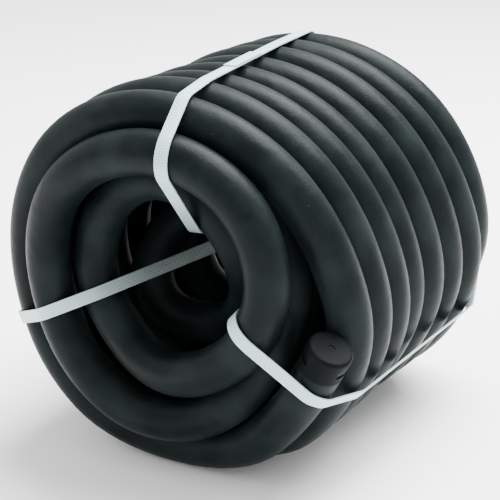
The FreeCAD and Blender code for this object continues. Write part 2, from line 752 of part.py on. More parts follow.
nodes = hose_parts + straps + [cap, plug, tail, disc, ferrule, nut, washer]
outline = FreeCAD.BoundBox()
for point in centreline[1:-1]:
    outline.add(point - FreeCAD.Vector(HOSE_RADIUS, HOSE_RADIUS, 0))
    outline.add(point + FreeCAD.Vector(HOSE_RADIUS, HOSE_RADIUS, 0))
for node in straps + [cap, nut]:
    outline.add(node.Shape.optimalBoundingBox(False))
origin = FreeCAD.Vector(outline.Center.x, outline.Center.y, -value("foot_height") - HOSE_RADIUS)
for node in nodes:
    node.Placement = FreeCAD.Placement(node.Placement.Base - origin, node.Placement.Rotation)

# ---------------------------------------------------------------- check and write

for item in doc.Objects:
    if "Invalid" in item.State or "Error" in item.State:
        raise RuntimeError("%s: %s" % (item.Name, item.State))
for node in nodes:
    if node.Shape.isNull() or not node.Shape.isValid():
        raise RuntimeError("%s has no valid shape" % node.Label)
os.makedirs("parts", exist_ok=True)
for node in nodes:
    node.Shape.exportStep("parts/%s.step" % node.Label)
    print("%s: %d solid, %.0f mm3" % (node.Label, len(node.Shape.Solids), node.Shape.Volume))
print("coil's axis lies at %.2f, %.2f, %.2f" % tuple(-origin))
mouth = inlet_end - origin + inlet_out * (nut_foot.number + value("nut_length"))
thread_length = value("nut_length") - thread_foot.number
print("inlet's mouth is at %.2f, %.2f, %.2f" % tuple(mouth))
print("its thread's wall is %.2f mm long" % thread_length)
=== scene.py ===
"""Soaker hose in its shipping coil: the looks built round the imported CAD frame.

Metres, +Z up, +Y from the capped front of the coil to the inlet at its back.
"""

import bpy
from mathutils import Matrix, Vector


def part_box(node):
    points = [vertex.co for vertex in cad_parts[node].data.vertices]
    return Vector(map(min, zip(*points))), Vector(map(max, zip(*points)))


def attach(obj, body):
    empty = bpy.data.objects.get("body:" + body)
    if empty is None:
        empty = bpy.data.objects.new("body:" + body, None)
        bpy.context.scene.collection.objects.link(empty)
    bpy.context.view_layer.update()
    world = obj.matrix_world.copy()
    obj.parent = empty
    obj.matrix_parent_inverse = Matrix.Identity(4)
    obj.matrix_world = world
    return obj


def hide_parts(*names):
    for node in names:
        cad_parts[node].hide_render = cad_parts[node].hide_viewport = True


bl_info = {
    "name": "Soaker hose",
    "version": (1, 0, 0),
    "blender": (4, 5, 0),
    "location": "3D View > Sidebar > Soaker hose",
    "description": "Builds the hose, straps, end cap and inlet coupling round their CAD parts",
    "category": "Object",
}

import math

import bmesh
import bpy
from bpy.props import FloatProperty, FloatVectorProperty, IntProperty, PointerProperty
from mathutils import Matrix, Vector
from mathutils.geometry import convex_hull_2d

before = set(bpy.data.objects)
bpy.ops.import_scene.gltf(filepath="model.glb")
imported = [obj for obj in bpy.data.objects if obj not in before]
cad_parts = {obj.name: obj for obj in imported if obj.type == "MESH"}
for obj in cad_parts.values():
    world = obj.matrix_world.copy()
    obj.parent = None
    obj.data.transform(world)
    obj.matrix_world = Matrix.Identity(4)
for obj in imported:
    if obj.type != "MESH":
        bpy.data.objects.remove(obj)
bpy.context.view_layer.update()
MM = 0.001


# ---------------------------------------------------------------- sizes and colours


def length(name, description, default, **limits):
    """A length property in metres."""
    return FloatProperty(
        name=name, description=description, default=default, unit="LENGTH",
        precision=4, min=0.0, **limits
    )


def colour(name, description, default):
    """A linear colour property."""
    return FloatVectorProperty(
        name=name, description=description, default=default, subtype="COLOR",
        size=3, min=0.0, max=1.0
    )


class HoseSizes(bpy.types.PropertyGroup):
    """The porous rubber hose."""

    diameter: length("Diameter", "Outside diameter of the hose", 0.019)
    rubber: colour("Rubber", "Colour of the clean rubber", (0.0034, 0.0058, 0.0060))
    bloom: colour("Bloom", "Paler film on the rubber", (0.0083, 0.0127, 0.0130))
    dust: colour("Dust", "Colour of the dust specks", (0.10, 0.12, 0.12))
    grain: length("Grain", "Width of the pores in the surface", 0.0007)


class StrapSizes(bpy.types.PropertyGroup):
    """The three welded straps that hold the coil."""

    width: length("Width", "Width of the strapping", 0.0056)
    thickness: length("Thickness", "Thickness of the strapping", 0.0007)
    clearance: length("Clearance", "Hose to strap", 0.0004)
    lap: length("Lap", "Length of the welded overlap", 0.030)
    thread: length("Thread", "Spacing of the woven threads", 0.0011)
    tape: colour("Tape", "Colour of the strapping", (0.52, 0.68, 0.68))
    # painted shade: this dark colour stands for the shade deep inside the coil's hole, not for
    # dirt
    painted_shade: colour("Grime", "Colour of the grime deep inside the coil", (0.016, 0.022, 0.022))
    # painted shade: the darker colour between the threads stands for the shade in the weave's
    # hollows
    shade_between_threads: colour("Hollow", "Colour between its threads", (0.27, 0.38, 0.38))


class CapSizes(bpy.types.PropertyGroup):
    """The moulded cap on the free end and the plug that holds it."""

    plastic: colour("Plastic", "Colour of the cap", (0.0026, 0.0036, 0.0036))
    grain: length("Grain", "Width of the moulded texture's grain", 0.0005)


class CouplingSizes(bpy.types.PropertyGroup):
    """The inlet coupling with its swivel nut."""

    nut_radius: length("Nut radius", "Radius of the nut between its ribs", 0.015)
    nut_chamfer: length("Nut chamfer", "Chamfer of the nut's outer edges", 0.001)
    lip_bore: length("Lip bore", "Radius of the hole in the nut's lip", 0.00708)
    lip_thickness: length("Lip thickness", "Thickness of the nut's lip", 0.0024)
    groove_radius: length("Groove radius", "Radius of the washer's groove", 0.0126)
    thread_foot: length("Thread foot", "Nut's foot to the end of its thread", 0.0084)
    thread_crest: length("Thread crest", "Radius of the thread's ridge", 0.0122)
    thread_depth: length("Thread depth", "Height of the thread's ridge", 0.0011)
    thread_pitch: length("Thread pitch", "Pitch of the garden hose thread", 0.00221)
    thread_turns: FloatProperty(
        name="Thread turns", description="Turns of the thread's ridge", default=3.25, min=1.0
    )
    ribs: IntProperty(
        name="Ribs", description="Grip ribs round the nut", default=18, min=3
    )
    rib_height: length("Rib height", "How far a rib stands out", 0.001)
    rib_width: length("Rib width", "Width of a rib", 0.0022)
    rib_inset: length("Rib inset", "End of a rib to the end of the nut", 0.002)
    plastic: colour("Plastic", "Colour of the nut and tail", (0.0040, 0.0048, 0.0050))
    metal: colour("Metal", "Colour of the crimped ferrule", (0.74, 0.75, 0.76))
    washer: colour("Washer", "Colour of the washer", (0.040, 0.040, 0.042))
    disc: colour("Disc", "Colour of the flow disc", (0.62, 0.64, 0.62))


class StageSizes(bpy.types.PropertyGroup):
    """The floor, the lamps and the camera."""

    floor: colour("Floor", "Colour of the floor", (0.98, 0.98, 0.98))
    sky: FloatProperty(
        name="Sky", description="Brightness of the white surroundings", default=1.5
    )
    top_lamp: FloatProperty(
        name="Top lamp", description="Power of the lamp above", default=90.0,
        unit="POWER",
    )
    side_lamp: FloatProperty(
        name="Side lamp", description="Power of the lamp at the left", default=3.0,
        unit="POWER",
    )
    turn: FloatProperty(
        name="Turn", description="Camera's turn to the right of the front",
        default=math.radians(28.92), subtype="ANGLE",
    )
    tilt: FloatProperty(
        name="Tilt", description="Camera's height above the level",
        default=math.radians(17.58), subtype="ANGLE",
    )
    distance: length("Distance", "Camera to the middle of the coil", 0.7605)
    lens: FloatProperty(
        name="Lens", description="Focal length in millimetres", default=122.8
    )


SIZES = {
    "hose": HoseSizes,
    "straps": StrapSizes,
    "cap": CapSizes,
    "coupling": CouplingSizes,
    "stage": StageSizes,
}


def sizes(group):
    return getattr(bpy.context.scene, "soaker_" + group)


# ---------------------------------------------------------------- route of the hose
# Millimetres from the coil's axis. "turned" is the angle gone round, in degrees from the right,
# clockwise as seen from the front.

COIL_AXIS = Vector((-1.84, -13.71, 82.90))
LEAN_SIDE = -0.0416
LEAN_UP = -0.1605
START_STATION = -66.5
TURN_PITCH = 19.6
FOOT_HEIGHT = 73.4
FOOT_HALF_ANGLE = 23.5
FREE_END = (75.0, -66.6, -19.8)
FIRST_CORNER = (62.8, -61.6, -41.3)
OUTER_RADII = (  # each outer turn's radius at the top and then at the right
    (74.2, 76.2), (76.2, 75.9), (75.2, 75.4), (75.2, 73.4),
    (75.0, 74.6), (76.2, 75.7), (75.7, 77.0), (75.0, 75.3),
)
OUTER_CORNERS = 12
FIRST_TURN_EASE = (-1.0, 0.0, 1.3, -3.1, -2.8, -0.7)  # added to its first corners' radii
LAST_TURN_EASE = (-0.4, 0.1, 0.8, 1.8, 0.6, -3.0)  # the same over the last turn's left and top
RIGHT_EASE = (4.3, 1.9)  # the same for the two corners before each foot
FOOT_SHIFT = 3.3  # how much further right each later foot begins
LAST_OUTER = 2905
INNER_STEP = 30
CROSSING = (  # turned, radius, station: inwards behind the last outer turn
    (2925, 69.5, 93.2), (2955, 63.0, 97.0), (2985, 57.0, 99.6), (3015, 54.2, 98.6),
)
SECOND_STATION = 95.3
SECOND_START = 3060
SECOND_PITCH = 20.0
SECOND_RADIUS = 53.5
SPIRAL = (  # turned, radius, y: front loops, then the core turns
    (5325, 56.4, -38.2), (5355, 55.2, -41.4), (5385, 53.2, -47.9), (5415, 52.4, -53.9),
    (5445, 53.8, -59.2), (5475, 57.4, -63.4), (5505, 57.9, -64.4), (5535, 56.1, -63.4),
    (5565, 54.6, -63.4), (5595, 55.4, -67.4), (5625, 57.6, -73.8), (5655, 60.1, -77.8),
    (5685, 64.1, -79.5), (5715, 64.9, -78.3), (5745, 57.8, -74.7), (5775, 48.1, -73.4),
    (5805, 38.8, -73.1), (5835, 34.8, -69.7), (5865, 31.9, -64.6), (5895, 31.2, -59.2),
    (5925, 34.5, -56.5), (5955, 38.8, -54.9), (5985, 43.4, -54.1), (6015, 46.2, -54.2),
    (6045, 43.1, -53.5), (6075, 35.2, -50.4), (6105, 30.3, -43.7), (6135, 28.1, -36.5),
    (6165, 26.9, -30.9), (6195, 25.7, -28.6), (6225, 26.5, -29.0), (6255, 28.0, -30.7),
    (6285, 27.7, -28.5), (6315, 24.9, -21.9), (6345, 24.0, -15.3), (6375, 25.6, -9.6),
    (6405, 27.5, -5.5), (6435, 28.8, -2.5), (6465, 28.6, -0.4), (6495, 28.5, 1.5),
    (6525, 28.6, 2.5), (6840, 29.2, 19.8),
)
INLET_END = (  # from the core turns to the inlet, which faces +Y
    (28.2, 22.5, -8.0), (21.5, 28.0, -21.5), (8.0, 37.0, -28.0),
    (-4.0, 50.0, -26.0), (-8.0, 73.0, -20.0), (-8.0, 96.0, -20.0),
)


def round_axis(turned, radius, along):
    angle = math.radians(-turned)
    return Vector((radius * math.cos(angle), along, radius * math.sin(angle)))


def lean(turned, radius):
    angle = math.radians(-turned)
    return radius * (LEAN_SIDE * math.cos(angle) + LEAN_UP * math.sin(angle))


def between(rows, turned, column):
    """Value of a column at an angle, in a straight line from row to row."""
    for low, high in zip(rows, rows[1:]):
        if low[0] <= turned <= high[0]:
            share = (turned - low[0]) / (high[0] - low[0])
            return low[column] + (high[column] - low[column]) * share
    raise ValueError(f"no row at {turned} degrees")


def outer_layer():
    """Eight turns from front to back, each with a flattened foot."""
    rows = [(0, OUTER_RADII[0][1])]
    for lap, (top, right) in enumerate(OUTER_RADII):
        rows += [(360 * lap + 270, top), (360 * lap + 360, right)]
    rows.append((360 * len(OUTER_RADII) + 270, OUTER_RADII[-1][0]))
    mean_radius = sum(top for top, right in OUTER_RADII) / len(OUTER_RADII)
    gap = (360 - 2 * FOOT_HALF_ANGLE) / (OUTER_CORNERS - 1)
    corners = [Vector(FREE_END), Vector(FIRST_CORNER)]
    for lap in range(len(OUTER_RADII) + 1):
        for step in range(-1, OUTER_CORNERS - 1):
            turned = 360 * lap + 90 - FOOT_HALF_ANGLE
            if step >= 0:
                turned += 2 * FOOT_HALF_ANGLE + gap * step
            if turned > LAST_OUTER:
                return corners
            radius = FOOT_HEIGHT / math.cos(math.radians(FOOT_HALF_ANGLE))
            if step > 0:
                radius = between(rows, turned, 1) / math.cos(math.radians(gap / 2))
            if lap == 0 and step < 5:
                radius += FIRST_TURN_EASE[step + 1]
            if lap == 7 and 4 <= step <= 9:
                radius += LAST_TURN_EASE[step - 4]
            if step >= 9 and lap < 8:
                radius += RIGHT_EASE[step - 9]
            station = START_STATION + TURN_PITCH * turned / 360 + lean(turned, mean_radius)
            corners.append(round_axis(turned, radius, station))
            if lap > 0 and step == -1:
                corners[-1].x += FOOT_SHIFT
    return corners


def inner_layers():
    """In behind the outer layer, forwards as the second layer, then the front loops and core."""
    outwards = 1 / math.cos(math.radians(INNER_STEP / 2))
    corners = []
    for turned, radius, station in CROSSING:
        corners.append(round_axis(turned, radius * outwards, station + lean(turned, radius)))
    for turned in range(CROSSING[-1][0] + INNER_STEP, SPIRAL[0][0], INNER_STEP):
        station = SECOND_STATION - SECOND_PITCH * (turned - SECOND_START) / 360
        station += lean(turned, SECOND_RADIUS)
        corners.append(round_axis(turned, SECOND_RADIUS * outwards, station))
    for turned in range(SPIRAL[0][0], SPIRAL[-1][0] + 1, INNER_STEP):
        radius = between(SPIRAL, turned, 1)
        corners.append(round_axis(turned, radius * outwards, between(SPIRAL, turned, 2)))
    return corners


def hose_route():
    """The route's corners in metres, from the capped end to the inlet."""
    corners = outer_layer() + inner_layers() + [Vector(point) for point in INLET_END]
    return [(corner + COIL_AXIS) * MM for corner in corners]


def route_curve(name, bevel=0.0):
    """The hose's line as one open spline, with the route's corners as its control points."""
    data = bpy.data.curves.new(name, "CURVE")
    data.dimensions = "3D"
    data.twist_mode = "MINIMUM"
    data.resolution_u = 8
    corners = hose_route()
    spline = data.splines.new("NURBS")
    spline.points.add(len(corners) - 1)
    for point, corner in zip(spline.points, corners):
        point.co = (*corner, 1.0)
    spline.order_u = 3
    spline.use_endpoint_u = True
    if bevel:
        data.bevel_depth = bevel
        data.bevel_resolution = 14
        data.use_fill_caps = True
    return data


def curve_mesh(data):
    """The mesh that a curve gives, with the curve itself removed."""
    holder = bpy.data.objects.new(data.name, data)
    bpy.context.scene.collection.objects.link(holder)
    bpy.context.view_layer.update()
    mesh = bpy.data.meshes.new_from_object(holder)
    bpy.data.objects.remove(holder)
    bpy.data.curves.remove(data)
    return mesh


def hose_line():
    """Points along the hose's own line, as its spline gives them."""
    mesh = curve_mesh(route_curve("hose_line"))
    points = [vertex.co.copy() for vertex in mesh.vertices]
    bpy.data.meshes.remove(mesh)
    return points


# ---------------------------------------------------------------- finishes

PAINTED_SHADE_FROM_AXIS = (0.008, 0.060)  # distances from the coil's axis over which the painted shade on the tape fades out
PAINTED_SHADE_FROM_FRONT = (-0.100, -0.085)  # Y over which the painted shade on the tape sets in, from the front


class Finish:
    """A node material that is being put together."""

    def __init__(self, name, base, roughness, metallic=0.0, specular=0.5):
        self.material = bpy.data.materials.new(name)
        self.material.use_nodes = True
        self.tree = self.material.node_tree
        self.shader = self.tree.nodes["Principled BSDF"]
        self.shader.inputs["Base Color"].default_value = (*base, 1.0)
        self.shader.inputs["Roughness"].default_value = roughness
        self.shader.inputs["Metallic"].default_value = metallic
        self.shader.inputs["Specular IOR Level"].default_value = specular
        self.points = self.add("ShaderNodeTexCoord")

    def add(self, kind, **settings):
        node = self.tree.nodes.new(kind)
        for key, setting in settings.items():
            if key in node.inputs:
                node.inputs[key].default_value = setting
            else:
                setattr(node, key, setting)
        return node

    def link(self, output, socket):
        self.tree.links.new(output, socket)

    def noise(self, width, detail=2.0, roughness=0.5):
        """Noise whose grain is about as wide as given."""
        node = self.add("ShaderNodeTexNoise", Scale=1 / width, Detail=detail)
        node.inputs["Roughness"].default_value = roughness
        self.link(self.points.outputs["Object"], node.inputs["Vector"])
        return node.outputs["Fac"]

    def ramp(self, value, low, high):
        """The part of a value between two levels, stretched from 0 to 1."""
        node = self.add("ShaderNodeMapRange", clamp=True, interpolation_type="SMOOTHSTEP")
        node.inputs["From Min"].default_value = low
        node.inputs["From Max"].default_value = high
        self.link(value, node.inputs["Value"])
        return node.outputs["Result"]

    def scaled(self, value, low, high):
        """A value from 0 to 1, moved to a range."""
        node = self.add("ShaderNodeMapRange", clamp=True)
        node.inputs["To Min"].default_value = low
        node.inputs["To Max"].default_value = high
        self.link(value, node.inputs["Value"])
        return node.outputs["Result"]

    def maths(self, operation, first, second=None):
        node = self.add("ShaderNodeMath", operation=operation)
        for socket, term in zip(node.inputs, (first, second)):
            if isinstance(term, (int, float)):
                socket.default_value = term
            elif term is not None:
                self.link(term, socket)
        return node.outputs[0]

    def mix(self, factor, first, second):
        """Colour between two colours, each a colour or a socket."""
        node = self.add("ShaderNodeMix", data_type="RGBA")
        sockets = [socket for socket in node.inputs if socket.type == "RGBA"]
        for socket, tint in zip(sockets, (first, second)):
            if isinstance(tint, bpy.types.NodeSocket):
                self.link(tint, socket)
            else:
                socket.default_value = (*tint, 1.0)
        self.link(factor, node.inputs["Factor"])
        return [socket for socket in node.outputs if socket.type == "RGBA"][0]

    def bump(self, height, depth, strength=1.0, before=None):
        node = self.add("ShaderNodeBump", Strength=strength, Distance=depth)
        self.link(height, node.inputs["Height"])
        if before is not None:
            self.link(before, node.inputs["Normal"])
        return node.outputs["Normal"]

    def finish(self, base=None, roughness=None, normal=None):
        for socket, value in (("Base Color", base), ("Roughness", roughness), ("Normal", normal)):
            if value is not None:
                self.link(value, self.shader.inputs[socket])
        return self.material


def porous_rubber():
    """Matt slate rubber with fine pores, a paler bloom and a few dust specks."""
    hose = sizes("hose")
    made = Finish("porous_rubber", hose.rubber, 0.42, specular=0.055)
    bloom = made.ramp(made.noise(0.020, 5.0), 0.38, 0.72)
    clean = made.mix(bloom, hose.rubber, hose.bloom)
    dust = made.ramp(made.noise(0.0010, 1.0), 0.78, 0.83)
    base = made.mix(made.maths("MULTIPLY", dust, 0.35), clean, hose.dust)
    pores = made.noise(hose.grain, 3.0, 0.6)
    waves = made.noise(0.009, 2.0)
    normal = made.bump(pores, 0.00025, 0.35)
    normal = made.bump(waves, 0.0012, 0.35, before=normal)
    return made.finish(base, made.scaled(bloom, 0.40, 0.50), normal)


def woven_tape():
    """White strapping: threads along and across it with painted shade between them, a little
    soiled, and painted shade deep inside the coil.
    """
    straps = sizes("straps")
    made = Finish("woven_tape", straps.tape, 0.42, specular=0.45)
    apart = made.add("ShaderNodeSeparateXYZ")
    made.link(made.points.outputs["UV"], apart.inputs[0])
    turn = math.pi / straps.thread
    along = made.maths("SINE", made.maths("MULTIPLY", apart.outputs["X"], turn))
    across = made.maths("SINE", made.maths("MULTIPLY", apart.outputs["Y"], turn))
    over = made.maths("MULTIPLY", along, across)
    threads = made.maths("ADD", made.maths("MULTIPLY", over, 0.5), 0.5)
    ridges = made.maths("MULTIPLY", made.maths("ABSOLUTE", along), made.maths("ABSOLUTE", across))
    weave = made.maths(
        "ADD", made.maths("MULTIPLY", threads, 0.35), made.maths("MULTIPLY", ridges, 0.65)
    )
    # Painted shade between the threads: the weave's hollows are darkened by their depth.
    clean = made.mix(made.ramp(weave, 0.0, 0.55), straps.shade_between_threads, straps.tape)
    soil = made.ramp(made.noise(0.009, 5.0, 0.6), 0.60, 0.80)
    worn = made.mix(made.maths("MULTIPLY", soil, 0.25), clean, (0.30, 0.34, 0.33))
    # Painted shade: the tape is darkened where it lies deep inside the coil's hole, in place of
    # the shade that falls there.
    place = made.add("ShaderNodeSeparateXYZ")
    made.link(made.points.outputs["Object"], place.inputs[0])
    aside = made.maths("SUBTRACT", place.outputs["X"], COIL_AXIS.x * MM)
    above = made.maths("SUBTRACT", place.outputs["Z"], COIL_AXIS.z * MM)
    from_axis = made.maths("SQRT", made.maths(
        "ADD", made.maths("MULTIPLY", aside, aside), made.maths("MULTIPLY", above, above)
    ))
    enclosed = made.maths("SUBTRACT", 1.0, made.ramp(from_axis, *PAINTED_SHADE_FROM_AXIS))
    deep = made.ramp(place.outputs["Y"], *PAINTED_SHADE_FROM_FRONT)
    painted_shade = made.maths("MULTIPLY", made.maths("MULTIPLY", enclosed, deep), 0.96)
    base = made.mix(painted_shade, worn, straps.painted_shade)
    normal = made.bump(weave, 0.00016, 0.9)
    normal = made.bump(made.noise(0.004, 2.0), 0.0003, 0.3, before=normal)
    return made.finish(base, made.scaled(soil, 0.38, 0.55), normal)


def moulded_plastic(name, base, grain, roughness=0.36):
    """Black moulded plastic with a faint grain, dusty in places."""
    made = Finish(name, base, roughness, specular=0.03)
    patches = made.ramp(made.noise(0.006, 4.0), 0.42, 0.70)
    paler = tuple(1.6 * part for part in base)
    tint = made.mix(patches, base, paler)
    normal = made.bump(made.noise(grain, 2.0), 0.00008, 0.5)
    normal = made.bump(made.noise(0.005, 2.0), 0.0004, 0.25, before=normal)
    return made.finish(tint, made.scaled(patches, roughness - 0.05, roughness + 0.1), normal)


def crimped_metal():
    """Bright drawn metal with fine marks round it."""
    made = Finish("crimped_metal", sizes("coupling").metal, 0.28, metallic=1.0)
    stretched = made.add("ShaderNodeMapping")
    stretched.inputs["Scale"].default_value = (1.0, 30.0, 1.0)
    made.link(made.points.outputs["Object"], stretched.inputs["Vector"])
    marks = made.add("ShaderNodeTexNoise", Scale=220.0, Detail=4.0)
    made.link(stretched.outputs["Vector"], marks.inputs["Vector"])
    dull = made.ramp(made.noise(0.006, 4.0), 0.40, 0.70)
    tint = made.mix(dull, sizes("coupling").metal, (0.48, 0.49, 0.50))
    normal = made.bump(marks.outputs["Fac"], 0.00003, 0.12)
    return made.finish(tint, made.scaled(dull, 0.24, 0.42), normal)


def nylon():
    """Natural nylon of the flow disc."""
    made = Finish("natural_nylon", sizes("coupling").disc, 0.4)
    cloud = made.ramp(made.noise(0.003, 3.0), 0.35, 0.70)
    tint = made.mix(cloud, sizes("coupling").disc, (0.50, 0.52, 0.50))
    return made.finish(tint, made.scaled(cloud, 0.35, 0.5), made.bump(cloud, 0.0001, 0.3))


def soft_rubber():
    """Black rubber of the washer."""
    made = Finish("washer_rubber", sizes("coupling").washer, 0.6)
    cloud = made.ramp(made.noise(0.002, 3.0), 0.35, 0.70)
    tint = made.mix(cloud, sizes("coupling").washer, (0.075, 0.075, 0.078))
    grain = made.noise(0.0004, 2.0)
    return made.finish(tint, made.scaled(cloud, 0.5, 0.7), made.bump(grain, 0.0001, 0.5))


def floor_paint():
    """Plain pale floor with hardly any texture."""
    made = Finish("floor", sizes("stage").floor, 0.85, specular=0.2)
    cloud = made.noise(0.08, 2.0)
    paler = tuple(min(1.0, 1.02 * part) for part in sizes("stage").floor)
    return made.finish(made.mix(cloud, sizes("stage").floor, paler))


# ---------------------------------------------------------------- pieces


def piece(name, mesh, body, material):
    """A finished object at the origin, riding on a body."""
    made = bpy.data.objects.new(name, mesh)
    bpy.context.scene.collection.objects.link(made)
    mesh.materials.clear()
    mesh.materials.append(material)
    mesh.polygons.foreach_set("use_smooth", [True] * len(mesh.polygons))
    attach(made, body)
    return made


def dress(node, material):
    """Gives a CAD part its finish."""
    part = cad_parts[node]
    part.data.materials.clear()
    part.data.materials.append(material)
    return part


def from_bmesh(name, shape):
    mesh = bpy.data.meshes.new(name)
    shape.to_mesh(mesh)
    shape.free()
    return mesh


FLOOR_REACH = 6.0
TOP_LAMP_PLACE = (0.20, 0.45, 1.05)  # both lamps' places are from the middle of the coil
TOP_LAMP_WIDTH = 1.0
SIDE_LAMP_PLACE = (-0.95, -0.45, 0.55)
SIDE_LAMP_WIDTH = 0.7
AIM_RIGHT, AIM_DOWN = 0.00624, 0.00067  # from the middle of the coil to what the camera faces


class SOAKER_OT_stage(bpy.types.Operator):
    """Make the floor, the lamps and the camera"""

    bl_idname = "soaker.stage"
    bl_label = "Stage"

    def execute(self, context):
        stage = sizes("stage")
        scene = context.scene
        shape = bmesh.new()
        bmesh.ops.create_grid(shape, x_segments=8, y_segments=8, size=FLOOR_REACH)
        floor = bpy.data.objects.new("floor", from_bmesh("floor", shape))
        scene.collection.objects.link(floor)
        floor.data.materials.append(floor_paint())

        world = bpy.data.worlds.new("surroundings")
        world.use_nodes = True
        back = world.node_tree.nodes["Background"]
        back.inputs["Color"].default_value = (1.0, 1.0, 1.0, 1.0)
        back.inputs["Strength"].default_value = stage.sky
        scene.world = world

        middle = COIL_AXIS * MM
        self.lamp("top_lamp", middle, TOP_LAMP_PLACE, TOP_LAMP_WIDTH, stage.top_lamp)
        self.lamp("side_lamp", middle, SIDE_LAMP_PLACE, SIDE_LAMP_WIDTH, stage.side_lamp)

        back_to_eye = Vector((
            math.sin(stage.turn) * math.cos(stage.tilt),
            -math.cos(stage.turn) * math.cos(stage.tilt),
            math.sin(stage.tilt),
        ))
        right = Vector((math.cos(stage.turn), math.sin(stage.turn), 0.0))
        up = back_to_eye.cross(right)
        data = bpy.data.cameras.new("camera")
        data.lens = stage.lens
        data.sensor_width = 36.0
        data.clip_start = 0.01
        camera = bpy.data.objects.new("camera", data)
        scene.collection.objects.link(camera)
        spot = middle + back_to_eye * stage.distance
        aim = middle + right * AIM_RIGHT - up * AIM_DOWN
        camera.location = spot
        camera.rotation_euler = (aim - spot).to_track_quat("-Z", "Y").to_euler()
        scene.camera = camera
        return {"FINISHED"}

    @staticmethod
    def lamp(name, aim, offset, width, power):
        data = bpy.data.lights.new(name, "AREA")
        data.shape = "SQUARE"
        data.size = width
        data.energy = power
        lamp = bpy.data.objects.new(name, data)
        lamp.location = aim + Vector(offset)
        lamp.rotation_euler = (-Vector(offset)).to_track_quat("-Z", "Y").to_euler()
        bpy.context.scene.collection.objects.link(lamp)


class SOAKER_OT_hose(bpy.types.Operator):
    """Make the coiled hose"""

    bl_idname = "soaker.hose"
    bl_label = "Hose"

    def execute(self, context):
        diameter = sizes("hose").diameter
        mesh = curve_mesh(route_curve("hose", diameter / 2))
        hose = piece("hose", mesh, "hose", porous_rubber())
        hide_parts("hose_outer_layer", "hose_second_layer", "hose_core_turns")
        return {"FINISHED"}


def crossings(points, origin, normal):
    """Where a chain of points passes through a plane, and which way it runs there."""
    found = []
    for start, end in zip(points, points[1:]):
        low, high = (start - origin).dot(normal), (end - origin).dot(normal)
        if low * high <= 0 and low != high:
            met = start + (end - start) * (low / (low - high))
            found.append((met, (end - start).normalized()))
    return found


class Strap:
    """A taut band round the hose sections that a plane meets on one side of the coil's axis."""

    def __init__(self, direction, offset, skew, least, slack):
        angle = math.radians(direction)
        self.up = Vector((math.cos(angle), 0, math.sin(angle)))
        flat_normal = Vector((math.sin(angle), 0, -math.cos(angle)))
        self.origin = COIL_AXIS * MM + flat_normal * offset * MM
        self.normal = (flat_normal + Vector((0, skew, 0))).normalized()
        self.along = self.up.cross(self.normal)
        if self.along.y < 0:
            self.along = -self.along
        self.corners = self.belt_corners(least * MM, slack)

    def belt_corners(self, least, slack):
        """Centres that the belt goes round, in order, in the plane."""
        straps, radius = sizes("straps"), sizes("hose").diameter / 2
        centres = [Vector(point) * MM for point in slack]
        for point, heading in crossings(hose_line(), self.origin, self.normal):
            if (point - self.origin).dot(self.up) < least:
                continue
            square = abs(heading.dot(self.normal))
            slant = math.sqrt(1 - square ** 2)
            spread = radius * (1 / square - 1) + straps.width / 2 * slant / square
            aside = (heading - self.normal * heading.dot(self.normal)) * (spread / slant)
            for met in (point - self.origin - aside, point - self.origin + aside):
                centres.append(Vector((met.dot(self.along), met.dot(self.up))))
        corners = [centres[index] for index in convex_hull_2d(centres)]
        area = sum(a.x * b.y - b.x * a.y for a, b in zip(corners, corners[1:] + corners[:1]))
        return corners if area > 0 else corners[::-1]

    def outline(self, radius, spacing):
        """Points round the belt at a distance from its corners, no further apart than spacing."""
        points = []
        count = len(self.corners)
        for index, corner in enumerate(self.corners):
            before, ahead = self.corners[index - 1], self.corners[(index + 1) % count]
            facing_in = math.atan2(*(corner - before).yx) - math.pi / 2
            facing_out = math.atan2(*(ahead - corner).yx) - math.pi / 2
            swing = (facing_out - facing_in) % (2 * math.pi)
            steps = max(1, math.ceil(swing * radius / spacing))
            for step in range(steps + 1):
                angle = facing_in + swing * step / steps
                points.append(corner + radius * Vector((math.cos(angle), math.sin(angle))))
            run = ahead - corner
            steps = max(1, math.ceil(run.length / spacing))
            outwards = radius * Vector((math.cos(facing_out), math.sin(facing_out)))
            points += [corner + outwards + run * step / steps for step in range(1, steps)]
        return points

    def place(self, point, side):
        return self.origin + self.along * point.x + self.up * point.y + self.normal * side

    def ribbon(self, shape, points, closed):
        """Adds a ribbon of the strap's width along points, with its map in metres."""
        width = sizes("straps").width
        row = [shape.verts.new(self.place(point, -width / 2)) for point in points]
        pairs = list(zip(row, row[1:] + row[:1])) if closed else list(zip(row, row[1:]))
        edges = [shape.edges.new(pair) for pair in pairs]
        grown = bmesh.ops.extrude_edge_only(shape, edges=edges)["geom"]
        moved = [item for item in grown if isinstance(item, bmesh.types.BMVert)]
        bmesh.ops.translate(shape, verts=moved, vec=self.normal * width)
        unwrap = shape.loops.layers.uv.verify()
        far = set(moved)
        travelled = 0.0
        for start, end in pairs:
            run = (end.co - start.co).length
            face = next(face for face in start.link_faces if end in face.verts)
            for loop in face.loops:
                flat = loop.vert.co - start.co
                ahead = flat.dot((end.co - start.co).normalized())
                loop[unwrap].uv = (travelled + ahead, width if loop.vert in far else 0.0)
            travelled += run
        return [face for face in shape.faces]


BELT_SPACING = 0.0012  # between points round a strap
LAP_STEPS = 24
SHARP = math.radians(60)  # a strap's edges that are rounded are at least as sharp as this
STRAP_PLACES = {  # direction in degrees, plane's offset, skew, least height, slack corners
    "strap_top": (90.0, 5.5, 0.12, 0.0, ((-52.0, 34.0), (-2.0, 25.0), (16.5, 28.2))),
    "strap_right": (-42.0, -27.0, 0.0, 30.0, ((-73.5, 40.7), (88.0, 41.7))),
    "strap_left": (204.8, 7.3, 0.0, 0.0, ((-25.0, -8.0),)),
}


